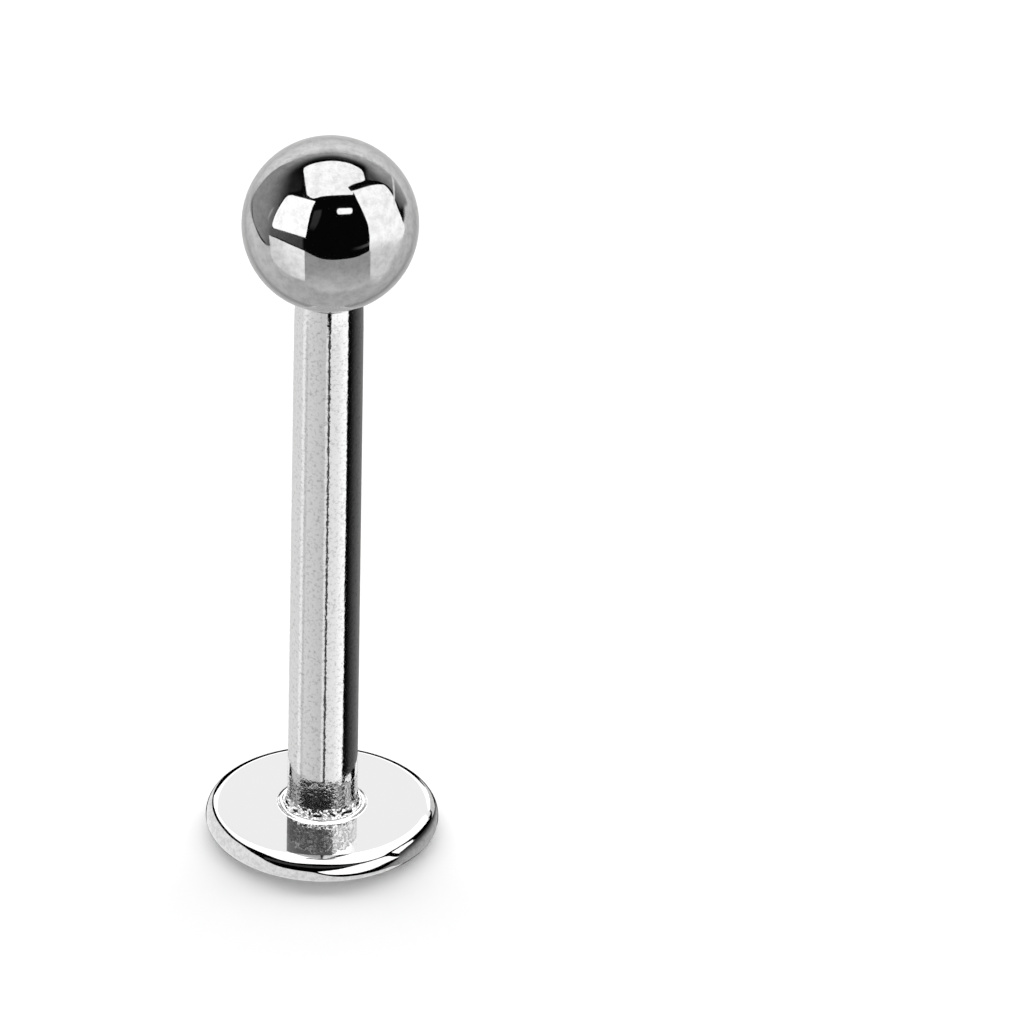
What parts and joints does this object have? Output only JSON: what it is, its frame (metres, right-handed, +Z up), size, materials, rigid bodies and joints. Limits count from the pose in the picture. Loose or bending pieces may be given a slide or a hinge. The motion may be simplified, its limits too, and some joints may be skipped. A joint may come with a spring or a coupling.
{
  "type": "labret stud",
  "caption": "Labret stud: a hollow round barrel on a flat round disc, closed by a polished ball whose threaded pin screws into the barrel's mouth.",
  "frame": {"origin": "centre of the disc's flat underside, on which the stud stands", "axes": "+Z runs up the barrel to the ball; X and Y lie across, and the picture looks along +Y"},
  "size_m": [0.004, 0.004, 0.0134],
  "materials": {
    "satin_steel": "satin polished 316L surgical steel",
    "mirror_steel": "mirror polished 316L surgical steel",
    "turned_steel": "turned and threaded 316L surgical steel"
  },
  "bodies": {
    "post": {"post": "satin_steel"},
    "top": {"ball": "mirror_steel", "threaded_pin": "turned_steel"}
  },
  "joints": [
    {"name": "ball_lift", "type": "slide", "parent": "post", "child": "top", "axis": [0, 0, 1], "range_m": [0, 0.005]}
  ]
}
